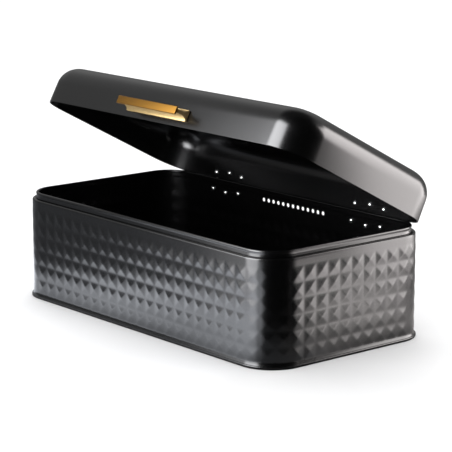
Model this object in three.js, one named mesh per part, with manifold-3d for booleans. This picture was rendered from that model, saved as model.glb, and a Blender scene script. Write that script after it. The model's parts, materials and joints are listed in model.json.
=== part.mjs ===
// A pressed-steel bread bin: a box with an embossed wall, a crimped base and a one-piece hinged lid.
// Millimetres, +Z up.  X runs along the width, -Y is the front with the handle, +Y is the hinge side.
import * as THREE from 'three';
import { mergeVertices } from 'three/addons/utils/BufferGeometryUtils.js';
import Module from 'manifold-3d';

const wasm = await Module();
wasm.setup();

// ---- Driving dimensions ----------------------------------------------------------------------

const width = 420;          // plain wall, outside, along X
const depth = 220;          // plain wall, outside, along Y
const cornerRadius = 36;    // outside corner in plan
const sheet = 0.8;          // thickness of the steel sheet
const gap = 0.3;            // air left between pieces that touch
const throughWall = 4;      // how far a cutter reaches either side of the wall it goes through

const quarterCells = 19;    // embossed cells along a quarter of the outline
const cellRows = 6;
const embossBottom = 5.6;   // height of the lowest valley line
const embossHeight = 0.9;   // how far a pyramid stands out of the wall
const cornerEmbossHeight = 0.45; // the pyramids are lower where the wall is bent

const ledgeHeight = 110.8;  // top of the wall, where the lid's rim lands
const ledgeRadius = 1.8;    // rounding between the wall and the ledge
const neckInset = 4.4;      // the neck stands this far inside the wall
const neckTop = 118;
const beadRadius = 1.6;     // rolled edge of the neck
const beadShift = 1.2;      // its middle, inwards from the neck's outer face
const flangeOut = 1.3;      // foot of the wall, folded out into the base's hem

const hemOut = 2.4;         // the crimped base stands out this far
const hemHeight = 3.2;
const hemRadius = 0.9;
const hemMouth = 0.5;       // the folded edge stops this far outside the wall
const footRing = 5.5;       // width of the flat ring that the bin stands on, inside the wall
const panelSlope = 2.5;     // the base slopes up to its panel over this distance
const baseRecess = 2.2;     // the panel is raised this far off the ground

const lidRim = 111.4;       // lid's lower edge when closed
const lidHeight = 48.2;
const lidOut = 0.6;         // the lid's rim stands out past the wall
const lidDraft = 0.34;
const lidEdgeRadius = 24.4;
const lidHem = { thickness: 1.3, height: 2.4, slope: 0.5 };
const lidOpen = 27.9;       // degrees, the resting pose

const pinY = depth / 2 + 6.5;
const pinZ = 111.2;
const pinRadius = 1.5;
const knuckleRadius = 3.5;
const hingeX = 115.5;       // hinges sit at plus and minus this
const leafHalfWidth = 28;
const leafThickness = 1;
const leafStart = 4.8;      // a leaf's plate, measured from the pin: its first edge,
const leafShoulder = 10.5;  // where its end corners start,
const leafReach = 16;       // and the far edge of its middle
const leafCornerRadius = 3;
const leafNoseHalfWidth = 10;
const knuckleHalfMiddle = 13.8;
const pinHead = { radius: 2.2, thickness: 0.5, out: 0.8 };

const rivetRadius = 1.5;
const rivetHead = { radius: 2.7, height: 1.5 };                // domed, inside
const rivetTail = { radius: 2, topRadius: 1.6, height: 0.9 };  // closed, outside
const rivetSides = 14;
const rivetPitch = 22;      // along X, either side of the hinge's middle
const rivetNear = 8.4;      // outer rivets, distance from the pin
const rivetFar = 10.5;      // middle rivet, distance from the pin

const ventCount = 13;
const ventPitch = 8.12;
const ventRadius = 2.2;
const ventHeight = 103.4;

const handleLength = 97;
const handleReach = 18.4;   // from the lid's face to the front of the grip
const handleZ = 124.2;      // height of its middle when closed
const handleScrewX = 34;
const handleFoot = { halfHeight: 6.2, edge: 2.2 };
const handleWeb = { halfHeight: 1.9, start: 9 };
const handleGrip = { halfHeight: 4.3, thickness: 1.9, chamfer: 0.6 };
const screwHead = { radius: 3.4, height: 2, clearance: 0.2 };
const screwSlot = { length: 3.6, width: 0.8, depth: 1.1 };
const screwReach = 5;       // how far it goes into the handle

// ---- Materials -------------------------------------------------------------------------------

const finish = {
  enamel: { color: 0x141517, roughness: 0.38, metalness: 0.0 },
  brass: { color: 0xb98a3c, roughness: 0.3, metalness: 1.0 },
  steel: { color: 0xc4c6c8, roughness: 0.3, metalness: 1.0 },
};

function part(name, geometry, look) {
  const mesh = new THREE.Mesh(geometry, new THREE.MeshStandardMaterial(finish[look]));
  mesh.name = name;
  return mesh;
}

// ---- Solids ----------------------------------------------------------------------------------

function signedVolume(positions, triangles) {
  const a = new THREE.Vector3();
  const b = new THREE.Vector3();
  const c = new THREE.Vector3();
  let volume = 0;
  for (let i = 0; i < triangles.length; i += 3) {
    a.fromArray(positions, 3 * triangles[i]);
    b.fromArray(positions, 3 * triangles[i + 1]);
    c.fromArray(positions, 3 * triangles[i + 2]);
    volume += a.dot(b.cross(c)) / 6;
  }
  return volume;
}

function toSolid(geometry) {
  const plain = geometry.clone();
  plain.deleteAttribute('normal');
  plain.deleteAttribute('uv');
  const merged = mergeVertices(plain, 1e-4);
  const vertProperties = merged.attributes.position.array;
  const triVerts = new Uint32Array(merged.index.array);
  if (signedVolume(vertProperties, triVerts) < 0) triVerts.reverse();
  return new wasm.Manifold(new wasm.Mesh({ numProp: 3, vertProperties, triVerts }));
}

function toGeometry(solid) {
  const mesh = solid.getMesh();
  const geometry = new THREE.BufferGeometry();
  geometry.setAttribute('position', new THREE.BufferAttribute(new Float32Array(mesh.vertProperties), 3));
  geometry.setIndex(new THREE.BufferAttribute(new Uint32Array(mesh.triVerts), 1));
  geometry.computeVertexNormals();
  return geometry;
}

function join(geometries) {
  return geometries.map(toSolid).reduce((whole, piece) => whole.add(piece));
}

function cut(solid, cutters) {
  return cutters.map(toSolid).reduce((rest, cutter) => rest.subtract(cutter), solid);
}

// A round bar along Y, used to cut holes through the front and back walls.
function barAlongY(radius, x, z, fromY, toY, sides = 16) {
  const bar = new THREE.CylinderGeometry(radius, radius, toY - fromY, sides);
  return bar.translate(x, (fromY + toY) / 2, z);
}

// A section drawn in (y, z), pushed along X from one place to another.
function prismAlongX(outline, fromX, toX) {
  const shape = new THREE.Shape(outline.map(([y, z]) => new THREE.Vector2(y, z)));
  const prism = new THREE.ExtrudeGeometry(shape, { depth: toX - fromX, bevelEnabled: false, steps: 1 });
  const basis = new THREE.Matrix4().makeBasis(
    new THREE.Vector3(0, 1, 0),
    new THREE.Vector3(0, 0, 1),
    new THREE.Vector3(1, 0, 0),
  );
  return prism.applyMatrix4(basis).translate(fromX, 0, 0);
}

// ---- The outline in plan: a rounded rectangle, walked anticlockwise from the front's middle ----

const arcLength = (Math.PI / 2) * cornerRadius;
const frontRun = width - 2 * cornerRadius;
const sideRun = depth - 2 * cornerRadius;
const outlineLength = 2 * (frontRun + sideRun) + 4 * arcLength;
const cellCount = 4 * quarterCells;
const cellPitch = outlineLength / cellCount;

// Straight and round stretches in order, each with where it starts and the way it heads there.
const stretches = [];
{
  let x = 0;
  let y = -depth / 2;
  let heading = 0;
  const plan = [
    [frontRun / 2, false], [arcLength, true], [sideRun, false], [arcLength, true],
    [frontRun, false], [arcLength, true], [sideRun, false], [arcLength, true], [frontRun / 2, false],
  ];
  let start = 0;
  for (const [length, round] of plan) {
    stretches.push({ start, length, round, x, y, heading });
    if (round) {
      const middle = heading + Math.PI / 4;
      x += Math.SQRT2 * cornerRadius * Math.cos(middle);
      y += Math.SQRT2 * cornerRadius * Math.sin(middle);
      heading += Math.PI / 2;
    } else {
      x += length * Math.cos(heading);
      y += length * Math.sin(heading);
    }
    start += length;
  }
}

function stretchAt(s) {
  return stretches.findLast((stretch) => stretch.start <= s + 1e-9);
}

// The point at distance s round the outline, moved inwards by inset, at height z.
function outlinePoint(s, inset, z) {
  const stretch = stretchAt(s);
  const along = s - stretch.start;
  if (!stretch.round) {
    const x = stretch.x + along * Math.cos(stretch.heading) - inset * Math.sin(stretch.heading);
    const y = stretch.y + along * Math.sin(stretch.heading) + inset * Math.cos(stretch.heading);
    return [x, y, z];
  }
  const centreX = stretch.x - cornerRadius * Math.sin(stretch.heading);
  const centreY = stretch.y + cornerRadius * Math.cos(stretch.heading);
  const angle = stretch.heading - Math.PI / 2 + along / cornerRadius;
  const radius = cornerRadius - inset;
  return [centreX + radius * Math.cos(angle), centreY + radius * Math.sin(angle), z];
}

// ---- Surfaces swept round the outline ----------------------------------------------------------

class Surface {
  constructor(stations) {
    this.stations = stations;
    this.positions = [];
    this.triangles = [];
  }

  vertex(x, y, z) {
    this.positions.push(x, y, z);
    return this.positions.length / 3 - 1;
  }

  ring(inset, z) {
    return this.stations.map((s) => this.vertex(...outlinePoint(s, inset, z)));
  }

  // Joins two rings; the outside is on the right when walking from the first to the second.
  band(first, second) {
    const count = first.length;
    for (let i = 0; i < count; i += 1) {
      const j = (i + 1) % count;
      this.triangles.push(first[i], first[j], second[j], first[i], second[j], second[i]);
    }
  }

  // Triangles from one vertex to each side of a closed loop.
  fan(centre, loop) {
    loop.forEach((vertex, i) => this.triangles.push(centre, vertex, loop[(i + 1) % loop.length]));
  }

  geometry() {
    const geometry = new THREE.BufferGeometry();
    geometry.setAttribute('position', new THREE.Float32BufferAttribute(this.positions, 3));
    geometry.setIndex(this.triangles);
    return geometry;
  }
}

// Places round the outline for a plain shell: only the corners need steps.
function plainStations(stepsPerCorner) {
  const stations = [];
  for (const stretch of stretches) {
    if (!stretch.round) continue;
    for (let i = 0; i <= stepsPerCorner; i += 1) {
      stations.push(stretch.start + (stretch.length * i) / stepsPerCorner);
    }
  }
  return stations;
}

// A dish: the profile runs from the underside's middle round the edge to the top side's middle.
function dish(profile, stepsPerCorner) {
  const surface = new Surface(plainStations(stepsPerCorner));
  const rings = profile.map(([inset, z]) => surface.ring(inset, z));
  for (let i = 0; i + 1 < rings.length; i += 1) surface.band(rings[i], rings[i + 1]);
  const lowCentre = surface.vertex(0, 0, profile[0][1]);
  const highCentre = surface.vertex(0, 0, profile.at(-1)[1]);
  surface.fan(lowCentre, rings[0].toReversed());
  surface.fan(highCentre, rings.at(-1));
  return surface.geometry();
}

function arc(centreInset, centreZ, radius, fromDegrees, toDegrees, steps) {
  const points = [];
  for (let i = 0; i <= steps; i += 1) {
    const angle = THREE.MathUtils.degToRad(fromDegrees + ((toDegrees - fromDegrees) * i) / steps);
    points.push([centreInset - radius * Math.cos(angle), centreZ + radius * Math.sin(angle)]);
  }
  return points;
}

// ---- Wall of the bin ---------------------------------------------------------------------------

// Cell edges, with one more place in the middle of each cell that touches a round corner.
function embossStations() {
  const stations = [];
  const cellStart = [];
  for (let cell = 0; cell < cellCount; cell += 1) {
    const from = cell * cellPitch;
    const to = from + cellPitch;
    cellStart.push(stations.length);
    stations.push(from);
    if (stretchAt(from).round || stretchAt(to - 1e-6).round) stations.push((from + to) / 2);
  }
  cellStart.push(stations.length);
  return { stations, cellStart };
}

// The top row is left plain along the back, where the hinges and vents are.
function pyramidHeight(cell, row) {
  const stretch = stretchAt((cell + 0.5) * cellPitch);
  if (stretch.round) return cornerEmbossHeight;
  const onBack = Math.abs(stretch.heading - Math.PI) < 0.1;
  return onBack && row === cellRows - 1 ? 0 : embossHeight;
}

function addPyramids(surface, cellStart, rowRings) {
  const count = surface.stations.length;
  for (let row = 0; row < cellRows; row += 1) {
    const middleZ = embossBottom + (row + 0.5) * cellPitch;
    for (let cell = 0; cell < cellCount; cell += 1) {
      const height = pyramidHeight(cell, row);
      const tip = surface.vertex(...outlinePoint((cell + 0.5) * cellPitch, -height, middleZ));
      const indices = [];
      for (let i = cellStart[cell]; i <= cellStart[cell + 1]; i += 1) indices.push(i % count);
      const lower = indices.map((i) => rowRings[row][i]);
      const upper = indices.map((i) => rowRings[row + 1][i]).toReversed();
      surface.fan(tip, [...lower, ...upper]);
    }
  }
}

function binWall() {
  const { stations, cellStart } = embossStations();
  const surface = new Surface(stations);
  const flangeBottom = sheet + gap;
  const foot = [
    [sheet, flangeBottom], [-flangeOut, flangeBottom],
    [-flangeOut, flangeBottom + sheet], [0, flangeBottom + sheet],
  ];
  const beadCentre = [neckInset + beadShift, neckTop - beadRadius];
  const head = [
    ...arc(ledgeRadius, ledgeHeight - ledgeRadius, ledgeRadius, 0, 90, 3),
    [neckInset, ledgeHeight],
    ...arc(...beadCentre, beadRadius, -30, 220, 8),
    [neckInset + sheet, ledgeHeight - sheet],
    ...arc(ledgeRadius, ledgeHeight - ledgeRadius, ledgeRadius - sheet, 90, 0, 2),
  ];
  const footRings = foot.map(([inset, z]) => surface.ring(inset, z));
  const rowRings = [];
  for (let row = 0; row <= cellRows; row += 1) {
    rowRings.push(surface.ring(0, embossBottom + row * cellPitch));
  }
  const headRings = head.map(([inset, z]) => surface.ring(inset, z));
  const lower = [...footRings, rowRings[0]];
  const upper = [rowRings.at(-1), ...headRings, footRings[0]];
  for (let i = 0; i + 1 < lower.length; i += 1) surface.band(lower[i], lower[i + 1]);
  for (let i = 0; i + 1 < upper.length; i += 1) surface.band(upper[i], upper[i + 1]);
  addPyramids(surface, cellStart, rowRings);
  return surface.geometry();
}

function ventCutters() {
  const cutters = [];
  for (let i = 0; i < ventCount; i += 1) {
    const x = (i - (ventCount - 1) / 2) * ventPitch;
    cutters.push(barAlongY(ventRadius, x, ventHeight, depth / 2 - throughWall, depth / 2 + throughWall));
  }
  return cutters;
}

// ---- Base ---------------------------------------------------------------------------------------

// The hem folds round the flange at the foot of the wall; the panel inside it is raised.
function basePlate() {
  const hemCentre = -hemOut + hemRadius;
  const ringEnd = footRing - 0.75 * sheet;
  return dish([
    [footRing + panelSlope, baseRecess],
    [footRing, 0],
    ...arc(hemCentre, hemRadius, hemRadius, -90, 0, 3),
    ...arc(hemCentre, hemHeight - hemRadius, hemRadius, 0, 90, 3),
    [-hemMouth, hemHeight],
    [-hemMouth, hemHeight - sheet],
    [-hemOut + sheet, hemHeight - sheet],
    [-hemOut + sheet, sheet],
    [ringEnd, sheet],
    [ringEnd + panelSlope, baseRecess + sheet],
  ], 8);
}

// ---- Lid ----------------------------------------------------------------------------------------

// The lid's rim is folded back inside itself, so its lowest part is thicker.
function lidShell() {
  const shoulderZ = lidRim + lidHeight - lidEdgeRadius;
  const edgeCentre = lidEdgeRadius + lidDraft - lidOut;
  const steps = 6;
  const outside = arc(edgeCentre, shoulderZ, lidEdgeRadius, 0, 90, steps);
  const inside = arc(edgeCentre, shoulderZ, lidEdgeRadius - sheet, 90, 0, steps);
  return dish([
    ...inside,
    [-lidOut + sheet, lidRim + lidHem.height],
    [-lidOut + lidHem.thickness, lidRim + lidHem.height - lidHem.slope],
    [-lidOut + lidHem.thickness, lidRim],
    [-lidOut, lidRim],
    ...outside,
  ], 8);
}

// Where the lid's side stands at a given height, as an inset from the wall's outline.
function lidInsetAt(z) {
  return -lidOut + (lidDraft * (z - lidRim)) / (lidHeight - lidEdgeRadius);
}

// ---- Rivets and hinges -----------------------------------------------------------------------------

// The three rivets of a leaf, as [x, distance from the pin].
function rivetPlaces(hinge) {
  return [
    { side: 'left', x: hinge - rivetPitch, away: rivetNear },
    { side: 'middle', x: hinge, away: rivetFar },
    { side: 'right', x: hinge + rivetPitch, away: rivetNear },
  ];
}

// A domed head on the inside, a shank, and a flatter closed head on the outside.
function rivet(insideY, outsideY) {
  const points = [[0, insideY - rivetHead.height]];
  const steps = 4;
  for (let i = 1; i <= steps; i += 1) {
    const angle = (Math.PI / 2) * (i / steps);
    points.push([rivetHead.radius * Math.sin(angle), insideY - rivetHead.height * Math.cos(angle)]);
  }
  points.push([rivetRadius, insideY], [rivetRadius, outsideY], [rivetTail.radius, outsideY]);
  points.push([rivetTail.topRadius, outsideY + rivetTail.height], [0, outsideY + rivetTail.height]);
  return new THREE.LatheGeometry(points.map(([r, y]) => new THREE.Vector2(r, y)), rivetSides);
}

// A hole a little wider than the rivet or screw that goes through it.
function clearanceHole(x, z, fromY, toY) {
  return barAlongY(rivetRadius + gap, x, z, fromY, toY, rivetSides);
}

function placedRivet(x, z, insideY, outsideY) {
  return toGeometry(toSolid(rivet(insideY, outsideY).translate(x, 0, z)));
}

// A leaf's flat plate about its own pin, up towards the lid or down towards the bin.
function leafPlate(up, plateY) {
  const cornerX = leafHalfWidth - leafCornerRadius;
  const cornerZ = leafShoulder * up;
  const quarter = (Math.PI / 2) * up;
  const plate = new THREE.Shape();
  plate.moveTo(-leafHalfWidth, leafStart * up);
  plate.lineTo(leafHalfWidth, leafStart * up);
  plate.lineTo(leafHalfWidth, cornerZ);
  plate.absarc(cornerX, cornerZ, leafCornerRadius, 0, quarter, up < 0);
  plate.lineTo(leafNoseHalfWidth, leafReach * up);
  plate.lineTo(-leafNoseHalfWidth, leafReach * up);
  plate.absarc(-cornerX, cornerZ, leafCornerRadius, quarter, 2 * quarter, up < 0);
  const solid = new THREE.ExtrudeGeometry(plate, {
    depth: leafThickness,
    bevelEnabled: false,
    curveSegments: 4,
  });
  return solid.rotateX(Math.PI / 2).translate(0, plateY + leafThickness, 0);
}

// The bent strip between the plate's edge and a knuckle's barrel, drawn for the lid's leaf.
function strapSection(plateY) {
  const onBarrel = (degrees) => {
    const angle = THREE.MathUtils.degToRad(degrees);
    const radius = 0.97 * knuckleRadius;
    return [radius * Math.cos(angle), radius * Math.sin(angle)];
  };
  const lap = 0.7;
  return [
    [plateY, leafStart], [plateY, leafStart + lap], [plateY + leafThickness, leafStart + lap],
    onBarrel(104), onBarrel(141),
  ];
}

// A whole leaf: up is +1 for the lid's leaf and -1 for the bin's leaf.
function hingeLeaf(up, plateY, knuckles) {
  const pieces = [leafPlate(up, plateY)];
  const bores = [];
  for (const [from, to] of knuckles) {
    const middle = (from + to) / 2;
    const barrel = new THREE.CylinderGeometry(knuckleRadius, knuckleRadius, to - from, 20);
    pieces.push(barrel.rotateZ(Math.PI / 2).translate(middle, 0, 0));
    pieces.push(prismAlongX(strapSection(plateY).map(([y, z]) => [y, z * up]), from, to));
    const bore = new THREE.CylinderGeometry(pinRadius + gap, pinRadius + gap, to - from + 2, 16);
    bores.push(bore.rotateZ(Math.PI / 2).translate(middle, 0, 0));
  }
  for (const { x, away } of rivetPlaces(0)) {
    bores.push(clearanceHole(x, away * up, plateY - 1, plateY + leafThickness + 1));
  }
  return cut(join(pieces), bores);
}

// A pin with a small flat head at either end.
function hingePin() {
  const end = leafHalfWidth + pinHead.out;
  const shank = end - pinHead.thickness;
  const points = [
    [0, -end], [pinHead.radius, -end], [pinHead.radius, -shank], [pinRadius, -shank],
    [pinRadius, shank], [pinHead.radius, shank], [pinHead.radius, end], [0, end],
  ];
  const lathe = new THREE.LatheGeometry(points.map(([r, x]) => new THREE.Vector2(r, x)), 16);
  return lathe.rotateZ(Math.PI / 2);
}

// ---- Handle -----------------------------------------------------------------------------------------

const faceY = lidInsetAt(handleZ - handleFoot.halfHeight) - depth / 2;

// One drawn bar: a foot against the lid, hollow-sided, narrowing to a web, and a flat grip in front.
function handleSection() {
  const gripBack = handleReach - handleGrip.thickness;
  const hollowDepth = handleFoot.halfHeight - handleWeb.halfHeight;
  const upper = [[gap, handleFoot.halfHeight]];
  const steps = 5;
  for (let i = 0; i <= steps; i += 1) {
    const angle = (Math.PI / 2) * (i / steps);
    const out = handleFoot.edge + (handleWeb.start - handleFoot.edge) * (1 - Math.cos(angle));
    upper.push([out, handleFoot.halfHeight - hollowDepth * Math.sin(angle)]);
  }
  upper.push([gripBack, handleWeb.halfHeight]);
  upper.push([gripBack, handleGrip.halfHeight]);
  upper.push([handleReach - handleGrip.chamfer, handleGrip.halfHeight]);
  upper.push([handleReach, handleGrip.halfHeight - handleGrip.chamfer]);
  const lower = upper.map(([out, up]) => [out, -up]).toReversed();
  return [...upper, ...lower].map(([out, up]) => [faceY - out, handleZ + up]);
}

function handle() {
  const bar = prismAlongX(handleSection(), -handleLength / 2, handleLength / 2);
  const holes = [-1, 1].map((side) =>
    clearanceHole(side * handleScrewX, handleZ, faceY - screwReach - 2 * gap, faceY + 1));
  return toGeometry(cut(toSolid(bar), holes));
}

// A pan-head screw with a cross slot, put in from inside the lid.
function handleScrew(x) {
  const headBase = faceY + sheet + gap + screwHead.clearance;
  const headTop = headBase + screwHead.height;
  const tip = faceY - screwReach;
  const tipChamfer = 0.4;
  const points = [
    [0, tip], [rivetRadius - tipChamfer, tip], [rivetRadius, tip + tipChamfer],
    [rivetRadius, headBase], [screwHead.radius, headBase],
    [screwHead.radius, headTop - 0.5 * screwHead.height],
    [0.75 * screwHead.radius, headTop - 0.1 * screwHead.height], [0, headTop],
  ];
  const body = new THREE.LatheGeometry(points.map(([r, y]) => new THREE.Vector2(r, y)), 16);
  const sizes = [[screwSlot.length, screwSlot.width], [screwSlot.width, screwSlot.length]];
  const slots = sizes.map(([across, up]) =>
    new THREE.BoxGeometry(across, 2 * screwSlot.depth, up).translate(0, headTop, 0));
  return toGeometry(cut(toSolid(body), slots)).translate(x, 0, handleZ);
}

// ---- Assembly ---------------------------------------------------------------------------------------

const breadBin = new THREE.Group();
const bin = new THREE.Group();
const lid = new THREE.Group();
lid.position.set(0, pinY, pinZ);
lid.rotation.x = -THREE.MathUtils.degToRad(lidOpen);
breadBin.add(bin, lid);

// Lid pieces are drawn where they are when the lid is closed, then turned with it.
function addToLid(mesh) {
  mesh.position.add(new THREE.Vector3(0, -pinY, -pinZ));
  lid.add(mesh);
}

const binHoles = ventCutters();
const lidHoles = [];
const binFaceY = depth / 2;
const lidFaceY = depth / 2 + lidOut;
const binLeafY = binFaceY + gap - pinY;
const lidLeafY = lidFaceY + gap - pinY;
const binKnuckleStart = knuckleHalfMiddle + 2 * gap;
const binKnuckles = [[-leafHalfWidth, -binKnuckleStart], [binKnuckleStart, leafHalfWidth]];
const lidKnuckles = [[-knuckleHalfMiddle, knuckleHalfMiddle]];
const leafStack = gap + leafThickness + gap;   // from a wall's face to the back of a rivet's tail

for (const [hand, x] of [['left', -hingeX], ['right', hingeX]]) {
  const binLeaf = part(`hinge_${hand}_bin_leaf`, toGeometry(hingeLeaf(-1, binLeafY, binKnuckles)), 'steel');
  binLeaf.position.set(x, pinY, pinZ);
  const pin = part(`hinge_${hand}_pin`, hingePin(), 'steel');
  pin.position.set(x, pinY, pinZ);
  bin.add(binLeaf, pin);
  const lidLeaf = part(`hinge_${hand}_lid_leaf`, toGeometry(hingeLeaf(1, lidLeafY, lidKnuckles)), 'steel');
  lidLeaf.position.set(x, pinY, pinZ);
  addToLid(lidLeaf);

  for (const place of rivetPlaces(x)) {
    const binZ = pinZ - place.away;
    const binRivet = placedRivet(place.x, binZ, binFaceY - sheet - gap, binFaceY + leafStack);
    binHoles.push(clearanceHole(place.x, binZ, binFaceY - throughWall, binFaceY + throughWall));
    bin.add(part(`rivet_${hand}_bin_${place.side}`, binRivet, 'steel'));

    const lidZ = pinZ + place.away;
    const lidInside = depth / 2 - lidInsetAt(lidZ) - sheet - gap;
    const lidRivet = placedRivet(place.x, lidZ, lidInside, lidFaceY + leafStack);
    lidHoles.push(clearanceHole(place.x, lidZ, lidFaceY - throughWall, lidFaceY + throughWall));
    addToLid(part(`rivet_${hand}_lid_${place.side}`, lidRivet, 'steel'));
  }
}

for (const [hand, side] of [['left', -1], ['right', 1]]) {
  const x = side * handleScrewX;
  lidHoles.push(clearanceHole(x, handleZ, faceY - throughWall, faceY + throughWall));
  addToLid(part(`handle_screw_${hand}`, handleScrew(x), 'steel'));
}

bin.add(part('bin_wall', toGeometry(cut(toSolid(binWall()), binHoles)), 'enamel'));
bin.add(part('base_plate', toGeometry(toSolid(basePlate())), 'enamel'));
addToLid(part('lid_shell', toGeometry(cut(toSolid(lidShell()), lidHoles)), 'enamel'));
addToLid(part('handle', handle(), 'brass'));

// The origin is on the ground, in the middle of the whole object as it rests with its lid raised.
const bounds = new THREE.Box3().setFromObject(breadBin, true);
breadBin.position.y = -(bounds.min.y + bounds.max.y) / 2;
breadBin.updateMatrixWorld(true);

export default breadBin;
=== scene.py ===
"""A pressed-steel bread bin with a hinged lid: meshes, finishes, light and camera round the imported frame.

Lengths are in millimetres and are turned into metres when a mesh is made. X runs along the width, -Y is
the front with the handle, +Y the hinge side, +Z up. Pieces of the lid are drawn as they are when the lid
is closed, and then turned with it to where it rests.
"""
import json
import math

import bpy
import numpy as np
from mathutils import Matrix, Vector

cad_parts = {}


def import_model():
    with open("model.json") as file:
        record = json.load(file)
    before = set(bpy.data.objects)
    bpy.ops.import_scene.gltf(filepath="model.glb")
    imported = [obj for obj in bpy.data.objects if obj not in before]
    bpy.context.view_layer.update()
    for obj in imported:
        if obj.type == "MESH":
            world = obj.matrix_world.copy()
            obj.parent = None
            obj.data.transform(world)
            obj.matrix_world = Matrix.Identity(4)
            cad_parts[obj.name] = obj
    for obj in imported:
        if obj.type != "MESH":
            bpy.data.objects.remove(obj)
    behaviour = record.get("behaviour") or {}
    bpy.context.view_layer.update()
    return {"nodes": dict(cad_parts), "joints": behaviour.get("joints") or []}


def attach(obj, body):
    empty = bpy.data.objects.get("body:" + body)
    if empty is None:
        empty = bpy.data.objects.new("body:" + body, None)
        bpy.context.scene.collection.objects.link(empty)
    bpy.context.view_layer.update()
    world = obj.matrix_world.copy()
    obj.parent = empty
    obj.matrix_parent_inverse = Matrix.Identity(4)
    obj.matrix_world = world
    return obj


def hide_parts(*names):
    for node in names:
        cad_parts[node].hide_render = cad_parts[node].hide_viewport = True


MM = 0.001

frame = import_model()


# ---- The frame's own sizes --------------------------------------------------------------------------

hinge_joint = frame["joints"][0]
lid_open = math.radians(-hinge_joint["range_deg"][0])
pin_at = Vector(hinge_joint["pos_m"])
LID_TURN = (
    Matrix.Translation(pin_at)
    @ Matrix.Rotation(lid_open, 4, Vector(hinge_joint["axis"]))
    @ Matrix.Translation(-pin_at)
)


def box_of(node, turned=False):
    """A CAD node's lowest and highest corners in millimetres, for a lid node as it is when closed."""
    back = LID_TURN.inverted() if turned else Matrix.Identity(4)
    corners = np.array([back @ v.co for v in frame["nodes"][node].data.vertices]) / MM
    return corners.min(axis=0), corners.max(axis=0)


base_low, base_high = box_of("base_plate")
_, wall_high = box_of("bin_wall")
lid_low, lid_high = box_of("lid_shell", turned=True)
pin_y, pin_z = pin_at.y / MM, pin_at.z / MM

# ---- Driving dimensions -----------------------------------------------------------------------------

SHEET = 0.7                 # steel sheet
HEM_OUT = 2.4               # the crimped base stands out this far past the wall
HALF_X = base_high[0] - HEM_OUT
HALF_Y = (base_high[1] - base_low[1]) / 2 - HEM_OUT
MIDDLE_Y = (base_high[1] + base_low[1]) / 2
CORNER_RADIUS = 36

QUARTER_CELLS = 19          # embossed cells along a quarter of the outline
CELL_ROWS = 6
EMBOSS_BOTTOM = 5.6
EMBOSS_HEIGHT = 0.9
CORNER_EMBOSS_HEIGHT = 0.42  # the pyramids are lower where the wall is bent
CELL_STEPS = 10             # mesh steps across a cell

LEDGE_HEIGHT = 110.8
LEDGE_RADIUS = 1.8
NECK_INSET = 4.4
BEAD_RADIUS = 1.6
BEAD_INSET = 5.6            # middle of the rolled edge
NECK_TOP = wall_high[2]
NECK_OUTSIDE_END = 113.2    # the neck's flat outside runs into the rolled edge here
NECK_INSIDE_END = 114.6     # and its flat inside here

HEM_HEIGHT = base_high[2]
HEM_RADIUS = 1.0
FLARE = 1.25                # the wall's foot turns out this far into the hem
FLARE_START = 8.0           # and starts to at this height
PANEL_RISE = 2.2            # the base's panel stands this far off the ground
FOOT_RING = 5.5             # width of the ring that the bin stands on, inside the wall

LID_RIM = lid_low[2]
LID_TOP = lid_high[2]
LID_OUT = lid_high[0] - HALF_X
LID_DRAFT = 0.34
LID_EDGE_RADIUS = 24.4
LID_HEM = 1.3               # thickness of the folded rim
LID_HEM_HEIGHT = 2.4
LID_CROWN = 0.25            # the top rises this much to its middle

VENT_COUNT = 13             # in the middle of the back's plain top row
VENT_PITCH = 8.12
VENT_RADIUS = 2.2
VENT_HEIGHT = 103.4

HANDS = ("left", "right")
RIVET_RADIUS = 1.5          # of the shank, and of the handle's screws
HOLE_GAP = 0.15             # a hole is this much wider than its shank, all round
RIVET_HEAD = 2.7            # radius of the domed head, inside
RIVET_HEAD_HEIGHT = 1.5
RIVET_TAIL = 2.0            # radius of the low head, outside
RIVET_TAIL_HEIGHT = 0.9

FOOT_EDGE = 1.9             # thickness of the edge of the handle's foot
WEB_HALF = 1.9
COVE_END = 9.0              # the coves run out into the web this far from the lid
GRIP_HALF = 4.3
GRIP_THICKNESS = 1.9
GRIP_CHAMFER = 0.6
SCREW_HEAD_HEIGHT = 2.0
SLOT_HALF_LENGTH = 1.8
SLOT_HALF_WIDTH = 0.4
SLOT_DEPTH = 1.0

LEAF_THICKNESS = 1.0
LEAF_START = 4.8            # a leaf's plate starts this far from the pin
LEAF_CORNER = 3.0
LEAF_NOSE_HALF = 10.0       # half the width of the nose in the middle of a leaf's end
LEAF_NOSE_LENGTH = 5.5
KNUCKLE_RADIUS = 3.5
KNUCKLE_BORE = 1.6
LID_KNUCKLE_HALF = 13.8     # half the length of the lid's knuckle, between the bin's two
KNUCKLE_GAP = 0.6
PIN_RADIUS = 1.5
PIN_HEAD_HEIGHT = 0.5


# ---- Colours, light and camera ----------------------------------------------------------------------

# The grip's dark brown and the coves' paler gold are shaded and lit copies of one brass: painted shade on
# the grip's face, and a painted highlight in the coves and on the foot.
GRIP_COLOR = (0.13, 0.065, 0.012)
COVE_HIGHLIGHT_COLOR = (0.36, 0.26, 0.12)
GRIP_DEPTH = 2.0            # the grip's colour goes this far in from its face
COVE_HIGHLIGHT_DEPTH = 5.0            # and has turned into the coves' painted highlight here

COOL = (0.95, 0.985, 1.06)
WARM = (1.04, 0.99, 0.98)

# The panels' plans and heights. The first lights the front, the second the right and the back. The first's
# left edge leans outwards. A panel's two glows are at its foot and higher up.
FRONT_PANEL = [(-130, -330), (232, -496)]
FRONT_PANEL_TOP = [(-235, -296), (232, -496)]
FRONT_PANEL_HEIGHT = 680
FRONT_PANEL_GLOWS = (9.0, 16.0)
FRONT_PANEL_COLOR = (0.99, 0.995, 1.02)
SIDE_PANEL = [(360, 110), (445, 220), (460, 370), (390, 510), (250, 600)]
SIDE_PANEL_HEIGHT = 530
SIDE_PANEL_GLOWS = (9.0, 9.0)
DIM_SHARE = 0.17            # brightness of the strip at a panel's start, against the rest of it

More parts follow.
